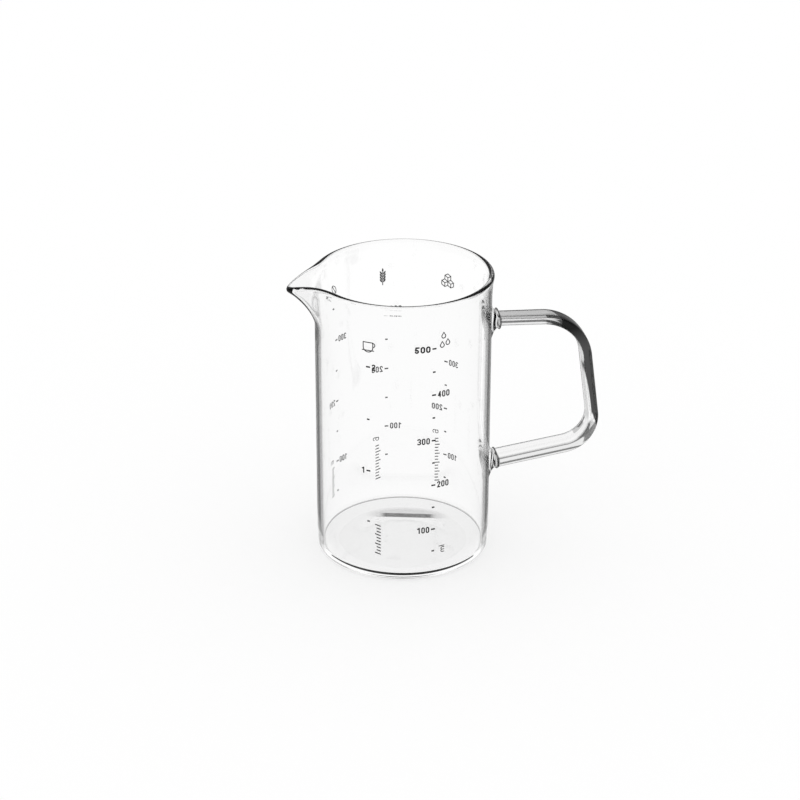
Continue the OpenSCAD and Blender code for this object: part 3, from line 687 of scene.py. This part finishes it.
def vessel_painted_shade(x, y, z):
    """All painted shade of the vessel: the painted ring, and on the floor within the wall its
    painted grey and the painted streak. The floor is told from the underside by its height."""
    top = BASE_T + FLOOR_DOME + LINE_RISE
    on_floor = smooth(z, BASE_T / 2, BASE_T - LINE_RISE) * smooth(z, top + LINE_RISE, top)
    on_floor = on_floor * smooth(length(x, y), INNER_R + LINE_SOFT, INNER_R)
    return covered(floor_line(x, y, z), on_floor * FLOOR_SHADE, on_floor * streak(x, y))


print("streak:", 2 * STREAK_HALF[0] / MM, "mm long,", STREAK_MIDDLE[1] / MM, "mm behind the axis")

# %% [markdown]
# The bar has a painted dark zone on its outer side, a painted reflection of the room, from the
# end of the upper arm round the bend and down the grip. Its inner edge is part of a tall oval,
# its upper end is cut on a slant, and its foot runs out along the outer edge. Below the bend
# only the near half of the bar is dark. The upper arm has a painted grey shade on top. Both arms
# have fine painted dark lines along them, a thin painted dark ring marks each seam with a seal,
# and a small painted grey spot sits inside the lower bend, on the far half.

# %% Painted shades of the handle
SOFT = 0.5 * MM
# Painted dark zone on the bar's outer side, a painted reflection of the room.
ZONE_OVAL = (67.3 * MM, 40 * MM)
ZONE_OVAL_R = 22 * MM
ZONE_OVAL_FLATNESS = 0.322
ZONE_START_X = 70 * MM
ZONE_SLANT = 0.51
ZONE_FOOT_X, ZONE_FOOT_Z = 88.5 * MM, 61 * MM
ZONE_FOOT_SLOPE = 3.0
ZONE_FRONT_Z = 90 * MM
ZONE_FRONT_FADE = 12 * MM
ZONE_SHADE = 0.995
# Painted grey shade (ARM_SHADE) and painted dark lines (EDGE_SHADE) on the arms.
ARM_SHADE = 0.67
EDGE_SHADE = 0.94
# Painted grey spot inside the lower bend.
SPOT_MIDDLE = (83.5 * MM, 51.5 * MM)
SPOT_R = 3.2 * MM
SPOT_SHADE = 0.6
ARMS_APART_Z = UPPER_SEAL_Z / 2


def past_start(x, y):
    """One beyond the slanting cut at which the dark zone starts."""
    return smooth(x + y * ZONE_SLANT, ZONE_START_X - SOFT, ZONE_START_X + SOFT)


def dark_zone(x, y, z):
    """The painted dark zone: outside the oval, outside the inner face of the bend, past the start
    and above the foot, which falls by its slope beyond ZONE_FOOT_X; low down, only where y is under zero."""
    from_oval = length(x - ZONE_OVAL[0], (z - ZONE_OVAL[1]) * ZONE_OVAL_FLATNESS)
    inner_face = UPPER_BEND_R - BAR_T_TOP / 2
    from_bend = length(x - upper_bend_middle[0], z - upper_bend_middle[1])
    above_foot = z + larger(x - ZONE_FOOT_X, 0.0) * ZONE_FOOT_SLOPE
    low_down = 1 - smooth(z, ZONE_FRONT_Z, ZONE_FRONT_Z + ZONE_FRONT_FADE)
    zone = smooth(from_oval, ZONE_OVAL_R - SOFT, ZONE_OVAL_R) * past_start(x, y)
    zone = zone * smooth(from_bend, inner_face, inner_face + SOFT)
    zone = zone * smooth(above_foot, ZONE_FOOT_Z - 2 * SOFT, ZONE_FOOT_Z + 2 * SOFT)
    return zone * (1 - low_down * smooth(y, -2 * SOFT, 2 * SOFT)) * ZONE_SHADE


def upper_arm_shades(x, y, z):
    """The painted grey shade of the arm's top face up to the dark zone, and the painted dark line
    along its far edge. The height above the arm's middle grows by ARM_FALL along it, because the
    arm falls by that."""
    above = z + (x - SEAM_X) * ARM_FALL - UPPER_SEAL_Z
    on_top = smooth(above, BAR_T_TOP / 2 - 2 * SOFT, BAR_T_TOP / 2 - SOFT)
    far_line = on_top * smooth(y, BAR_W_TOP / 2 - 5 * SOFT, BAR_W_TOP / 2 - 3 * SOFT)
    return covered(on_top * (1 - past_start(x, y)) * ARM_SHADE, far_line * EDGE_SHADE)


def lower_arm_shades(x, y, z):
    """Painted dark lines along the lower arm: one just under the middle of its near side and one
    at that side's lower edge, and one at the upper edge of its far side."""
    below = LOWER_SEAL_Z + (x - SEAM_X) * ARM_RISE - z
    lower_arm = smooth(z, ARMS_APART_Z, ARMS_APART_Z - 4 * SOFT)
    middle_line = smooth(below, -SOFT, 0) * smooth(below, 2 * SOFT, SOFT)
    low_line = smooth(below, BAR_T_LOW / 2 - 2 * SOFT, BAR_T_LOW / 2 - SOFT)
    high_line = smooth(below, 2 * SOFT - BAR_T_LOW / 2, SOFT - BAR_T_LOW / 2)
    near_side = smooth(y, -BAR_W_TOP / 2, -BAR_W_TOP / 2 - 2 * SOFT)
    far_side = smooth(y, BAR_W_TOP / 2 - SOFT, BAR_W_TOP / 2 + SOFT)
    near_lines = (middle_line * EDGE_SHADE + low_line * ARM_SHADE) * near_side
    return covered(near_lines * lower_arm, high_line * far_side * lower_arm * EDGE_SHADE)


def bar_painted_shade(x, y, z):
    """All painted shades of the handle. Those of the arms start at the seam, and a painted dark ring marks
    the seam.
    """
    on_bar = smooth(x, SEAM_X, SEAM_X + SOFT)
    seam = smooth(x, SEAM_X - 3 * SOFT, SEAM_X - 2 * SOFT) * smooth(x, SEAM_X + SOFT, SEAM_X)
    from_spot = length(x - SPOT_MIDDLE[0], z - SPOT_MIDDLE[1])
    spot = smooth(from_spot, SPOT_R + SOFT, SPOT_R) * smooth(y, -SOFT, SOFT)
    return covered(
        dark_zone(x, y, z), on_bar * upper_arm_shades(x, y, z), on_bar * lower_arm_shades(x, y, z),
        seam * EDGE_SHADE, spot * SPOT_SHADE,
    )


print("arms: the upper one falls by", round(ARM_FALL, 3), "and the lower one rises by", round(ARM_RISE, 3))

# %% [markdown]
# Clear glass in a white room would be all but invisible. What draws it is its edges, where a
# ray meets the surface at a flat angle. The Fresnel node gives the share of light that is
# mirrored there, and a row of stops turns that share into painted shade in the glass's colour:
# dark edge lines painted in for what the edges would mirror. So the painted edge lines follow
# the real curves from every side. Only the outer surface has that painted shade, above the
# rounded edge of the base, or else each line would be there twice.
#
# The finish called fused_glass is no glass at all. It lets light go straight on, and it lies
# where the wall, a seal and the bar are one piece of glass. The ring that the jug stands on has
# it too, so that the white floor shows there and the ring mirrors nothing.

# %% Glass
GLASS_IOR = 1.47
WAVES_PER_M = 45.0
WAVE_H = 1 * MM
WAVE_STRENGTH = 0.02
# Painted edge shade: stops that darken the glass's colour by its Fresnel share.
WALL_PAINTED_EDGE_SHADE = [
    (0.0, grey(1)), (0.16, grey(1)), (0.18, grey(0.75)), (0.2, grey(0.5)), (0.225, grey(0.55)),
    (0.26, grey(0.35)), (0.3, grey(0.08)), (0.37, grey(0.15)), (0.47, grey(0.35)), (0.6, grey(0.6)),
    (0.98, grey(1)),
]
BAR_PAINTED_EDGE_SHADE = [
    (0.0, grey(1)), (0.15, grey(1)), (0.22, grey(0.6)), (0.3, grey(0.6)), (0.38, grey(1)),
    (0.6, grey(1)), (0.75, grey(0.3)), (0.9, grey(0.2)), (0.98, grey(1)),
]


def glass_finish(name, dark_at, edge_shade_from, shade):
    """Clear glass. Faces farther than edge_shade_from off the axis have painted edge shade in their
    colour, which the stops give over their Fresnel share. The painted shade by place lies over
    that. The slow waves of blown glass are a bump too low to see but for the lines that they bend."""
    material = bpy.data.materials.new(name)
    f = Finish(material)
    x, y, z = axes_of(f)
    outside = (length(x, y) > edge_shade_from) * smooth(z, BASE_CORNER_R / 4, BASE_CORNER_R)
    grazing = f.add("ShaderNodeFresnel", None, {"IOR": GLASS_IOR})
    dark = f.add("ShaderNodeValToRGB", {"stops": dark_at}, {"Fac": grazing})
    place = f.add("ShaderNodeTexCoord", output="Object")
    waves = f.add("ShaderNodeTexNoise", None, {"Vector": place, "Scale": WAVES_PER_M, "Detail": 1.0})
    bump = f.add("ShaderNodeBump", None, {"Strength": WAVE_STRENGTH, "Distance": WAVE_H, "Height": waves})
    # The colour is white less the painted edge shade and the painted shade by place.
    glass = f.add("ShaderNodeBsdfPrincipled", None, {
        "Base Color": 1 - covered(outside * (1 - dark), shade(x, y, z)), "Roughness": 0.0,
        "IOR": GLASS_IOR, "Transmission Weight": 1.0, "Normal": bump,
    })
    f.add("ShaderNodeOutputMaterial", None, {"Surface": glass})
    return material


def weld_finish():
    """The places where glass is fused to glass: there is no surface there, so light goes straight on."""
    material = bpy.data.materials.new("fused_glass")
    f = Finish(material)
    clear = f.add("ShaderNodeBsdfPrincipled", None, {
        "Base Color": grey(1), "Roughness": 1.0, "Specular IOR Level": 0.0, "Alpha": 0.0,
    })
    f.add("ShaderNodeOutputMaterial", None, {"Surface": clear})
    return material


vessel_glass = glass_finish("vessel_glass", WALL_PAINTED_EDGE_SHADE, OUTER_R - WALL / 2, vessel_painted_shade)
handle_glass = glass_finish("handle_glass", BAR_PAINTED_EDGE_SHADE, OUTER_R, bar_painted_shade)
weld = weld_finish()
print("finishes:", vessel_glass.name, handle_glass.name, weld.name)

# %% [markdown]
# Each piece of glass gets two finishes, and each face one of them. On the wall, the fused faces
# are those within the pad of a seal, and on a seal or the bar they are the caps. The edges
# round a cap are marked as sharp, so that the cap doesn't bend the shading of the sides. The
# resting ring goes from the edge of the hollow a little way up the base's rounded corner.

# %% Glass on the pieces


def sharpen_between(mesh, is_weld):
    """Marks the edges between weld faces and the others as sharp, so that neither shades the other."""
    loop_edges = np.empty(len(mesh.loops), int)
    mesh.loops.foreach_get("edge_index", loop_edges)
    sizes = np.empty(len(mesh.polygons), int)
    mesh.polygons.foreach_get("loop_total", sizes)
    of_loop = np.repeat(is_weld, sizes)
    weld_count = np.bincount(loop_edges, of_loop, len(mesh.edges))
    all_count = np.bincount(loop_edges, minlength=len(mesh.edges))
    sharp = (weld_count > 0) & (weld_count < all_count)
    attribute = mesh.attributes.new("sharp_edge", "BOOLEAN", "EDGE")
    attribute.data.foreach_set("value", sharp)


def dress(piece, glass, is_weld, sharp):
    """Glass on a piece, and the weld finish on the faces that are fused to a neighbour."""
    piece.data.materials.append(glass)
    piece.data.materials.append(weld)
    piece.data.polygons.foreach_set("material_index", is_weld.astype(np.int32))
    if sharp:
        sharpen_between(piece.data, is_weld)


CONTACT_Z = BASE_CORNER_R / 3
middle_of = vessel_points[np.array(vessel_faces[: (rows - 1) * columns])].mean(1)
on_wall = np.hypot(middle_of[:, 0], middle_of[:, 1]) > OUTER_R - WALL / 4
footprint = np.zeros(len(vessel_faces), bool)
for seal_z in (LOWER_SEAL_Z, UPPER_SEAL_Z):
    from_middle = np.hypot(middle_of[:, 1], middle_of[:, 2] - seal_z)
    footprint[: len(middle_of)] |= on_wall & (middle_of[:, 0] > 0) & (from_middle < SEAL_PAD_R)
in_contact = np.zeros(len(vessel_faces), bool)
on_ring = np.hypot(middle_of[:, 0], middle_of[:, 1]) > HOLLOW_R
in_contact[: len(middle_of)] = on_ring & (middle_of[:, 2] < CONTACT_Z)
dress(vessel, vessel_glass, footprint | in_contact, False)
for piece, sides in ((upper_seal, upper_sides), (lower_seal, lower_sides), (bar, bar_sides)):
    dress(piece, handle_glass, np.arange(len(piece.data.polygons)) >= sides, True)
print("fused:", int(footprint.sum()), "faces of the wall, for two pads of", PAD_CELLS**2)
print("resting ring:", int(in_contact.sum()), "faces")

# %% [markdown]
# The marks need no meshes here. The printed skins of the construction are as thin as enamel
# looks, so they stay and only get their finish. Fired enamel is glass with black pigment: a
# satin surface, hardly ever quite black, with a grain that the screen leaves behind.

# %% Enamel
GRAINS_PER_M = 2600.0
CLOUDS_PER_M = 400.0
GRAIN_H = 0.1 * MM
GRAIN_STRENGTH = 0.25
ENAMEL_IOR = 1.5
ENAMEL_SMOOTHEST, ENAMEL_ROUGHEST = 0.3, 0.6
ENAMEL_STOPS = [(0.3, (0.012, 0.012, 0.014, 1)), (0.75, (0.035, 0.034, 0.034, 1))]


def enamel_finish():
    """Near black in slow clouds. The grain raises the surface and roughens it."""
    material = bpy.data.materials.new("black_enamel")
    f = Finish(material)
    place = f.add("ShaderNodeTexCoord", output="Object")
    grain = f.add("ShaderNodeTexNoise", None, {"Vector": place, "Scale": GRAINS_PER_M, "Detail": 2.0})
    cloud = f.add("ShaderNodeTexNoise", None, {"Vector": place, "Scale": CLOUDS_PER_M, "Detail": 1.0})
    colour = f.add("ShaderNodeValToRGB", {"stops": ENAMEL_STOPS}, {"Fac": cloud})
    bump = f.add("ShaderNodeBump", None, {"Strength": GRAIN_STRENGTH, "Distance": GRAIN_H, "Height": grain})
    roughness = ENAMEL_SMOOTHEST + (ENAMEL_ROUGHEST - ENAMEL_SMOOTHEST) * grain
    enamel = f.add("ShaderNodeBsdfPrincipled", None, {
        "Base Color": colour, "Roughness": roughness, "IOR": ENAMEL_IOR, "Normal": bump,
    })
    f.add("ShaderNodeOutputMaterial", None, {"Surface": enamel})
    return material


enamel = enamel_finish()
enamel_nodes = [s["node"] for s in frame["record"]["subparts"] if s["material_slot"] == "black_enamel"]
for name in enamel_nodes:
    mesh = frame["nodes"][name].data
    mesh.materials.clear()
    mesh.materials.append(enamel)
print("enamel on", len(enamel_nodes), "nodes")

# %% [markdown]
# The floor is white and still has to keep the jug's shadow. So a part of its white is a matt
# surface that the sky lights, and the rest glows, but only for rays straight from the camera.
# A ray that came through the glass sees an even white.
#
# Glass also has dark lines where it mirrors more than it lets through. They need something dark
# to mirror. In these nodes a ray that went through clear glass counts as glossy as well, so a
# ray that was only mirrored is one that is glossy and not clear. It alone sees a darker floor,
# a little way off the jug, and a darker sky.

# %% Floor
FLOOR_HALF = 3.0
FLOOR_DROP = 0.1 * MM
FLOOR_ALBEDO = 0.3
MIRROR_LEVEL = 0.35
MIRROR_FROM_R = OUTER_R + 2 * BASE_CORNER_R
MIRROR_FULL_R = OUTER_R + 6 * BASE_CORNER_R


def ray_kinds(f):
    """Wires that are one for a ray from the camera, for one in the glass or off it, and for one
    that was only mirrored."""
    camera, glossy, clear = (f.add("ShaderNodeLightPath", output=f"Is {kind} Ray")
                             for kind in ("Camera", "Glossy", "Transmission"))
    return camera, larger(glossy, clear), glossy * (1 - clear)


def floor_finish():
    """Matt by its albedo plus a glow of the rest for the camera, or white for rays in the glass.
    That white falls to MIRROR_LEVEL for mirrored rays, from MIRROR_FROM_R to MIRROR_FULL_R."""
    material = bpy.data.materials.new("floor_white")
    f = Finish(material)
    camera, in_glass, mirrored = ray_kinds(f)
    matt = f.add("ShaderNodeBsdfDiffuse", None, {"Color": grey(FLOOR_ALBEDO)})
    glow = f.add("ShaderNodeEmission", None, {"Color": camera * (1 - FLOOR_ALBEDO), "Strength": 1.0})
    lit = f.add("ShaderNodeAddShader", None, {0: matt, 1: glow})
    x, y = axes_of(f, "XY")
    away = smooth(length(x, y), MIRROR_FROM_R, MIRROR_FULL_R)
    white = 1 - mirrored * away * (1 - MIRROR_LEVEL)
    seen_in_glass = f.add("ShaderNodeEmission", None, {"Color": white, "Strength": 1.0})
    both = f.add("ShaderNodeMixShader", None, {0: in_glass, 1: lit, 2: seen_in_glass})
    f.add("ShaderNodeOutputMaterial", None, {"Surface": both})
    return material


floor_mesh = bpy.data.meshes.new("floor")
corners = [(-1, -1), (1, -1), (1, 1), (-1, 1)]
floor_points = [(FLOOR_HALF * x, FLOOR_HALF * y, -FLOOR_DROP) for x, y in corners]
floor_mesh.from_pydata(floor_points, [], [(0, 1, 2, 3)])
floor_mesh.materials.append(floor_finish())
floor = bpy.data.objects.new("floor", floor_mesh)
bpy.context.scene.collection.objects.link(floor)
print("floor:", 2 * FLOOR_HALF, "m wide")

# %% [markdown]
# The sky is the only light, as soft as light can be. The camera sees it as plain white. The
# glass sees a room that is a little less bright, with a dimmer side to the left and a dimmer
# spot beyond the handle, so that its two sides don't look alike.

# %% World
ROOM_LEVEL = 0.85
LEFT_LEVEL, LEFT_FROM, LEFT_FULL = 0.5, 0.5, 0.95
BEYOND_LEVEL, BEYOND_FROM, BEYOND_FULL = 0.5, 0.5, 0.8
LEFT_TOWARDS = (-1, 0, 0)
BEYOND_TOWARDS = (0.981, -0.086, 0.174)


def dimming(sky, towards, level, start, full):
    """A level that eases from 1 to the given one as the sky's direction turns towards a place.
    The share is the cosine of the angle between them, from start to full."""
    dot = {"operation": "DOT_PRODUCT"}
    cosine = sky.finish.add("ShaderNodeVectorMath", dot, {0: sky, 1: towards}, output="Value")
    return 1 - (1 - level) * smooth(cosine, start, full)


world = bpy.data.worlds.new("studio")
bpy.context.scene.world = world
w = Finish(world)
sky = w.add("ShaderNodeTexCoord", output="Generated")
room = ROOM_LEVEL * dimming(sky, LEFT_TOWARDS, LEFT_LEVEL, LEFT_FROM, LEFT_FULL)
room = room * dimming(sky, BEYOND_TOWARDS, BEYOND_LEVEL, BEYOND_FROM, BEYOND_FULL)
_, in_glass, mirrored = ray_kinds(w)
level = 1 - in_glass * (1 - room * (1 - mirrored * (1 - MIRROR_LEVEL)))
background = w.add("ShaderNodeBackground", None, {"Color": level, "Strength": 1.0})
w.add("ShaderNodeOutputWorld", None, {"Surface": background})
print("sky:", len(w.tree.nodes), "nodes")

# %% [markdown]
# The camera stands where the picture was taken from: in front, a little towards the spout and
# well above the rim. Its place, its lens and its slight roll were worked out from the ovals of
# the rim and the base. A small shift puts the jug where it is in the frame.

# %% Camera
LOOK_AT = np.array([0, 0, 64 * MM])
CAMERA_DISTANCE = 1.1534
CAMERA_AZIMUTH = math.radians(-10.5)
CAMERA_ELEVATION = math.radians(25.813)
CAMERA_ROLL = math.radians(0.144)
IMAGE_PIXELS = 800
FOCAL_PIXELS = 2505.7
LOOK_AT_PIXEL = (403.02, 417.62)
SENSOR_MM = 36.0

camera_data = bpy.data.cameras.new("camera")
camera = bpy.data.objects.new("camera", camera_data)
bpy.context.scene.collection.objects.link(camera)
bpy.context.scene.camera = camera
camera_data.sensor_width = SENSOR_MM
camera_data.lens = FOCAL_PIXELS / IMAGE_PIXELS * SENSOR_MM
camera_data.shift_x = (IMAGE_PIXELS / 2 - LOOK_AT_PIXEL[0]) / IMAGE_PIXELS
camera_data.shift_y = (LOOK_AT_PIXEL[1] - IMAGE_PIXELS / 2) / IMAGE_PIXELS
towards = np.array([
    math.sin(CAMERA_AZIMUTH) * math.cos(CAMERA_ELEVATION),
    -math.cos(CAMERA_AZIMUTH) * math.cos(CAMERA_ELEVATION),
    math.sin(CAMERA_ELEVATION),
])
camera.location = LOOK_AT + CAMERA_DISTANCE * towards
camera.rotation_mode = "QUATERNION"
camera.rotation_quaternion = (
    Quaternion((0, 0, 1), CAMERA_AZIMUTH)
    @ Quaternion((1, 0, 0), math.pi / 2 - CAMERA_ELEVATION)
    @ Quaternion((0, 0, 1), CAMERA_ROLL)
)
bpy.context.scene.view_settings.view_transform = "Standard"
print("camera at", tuple(camera.location))
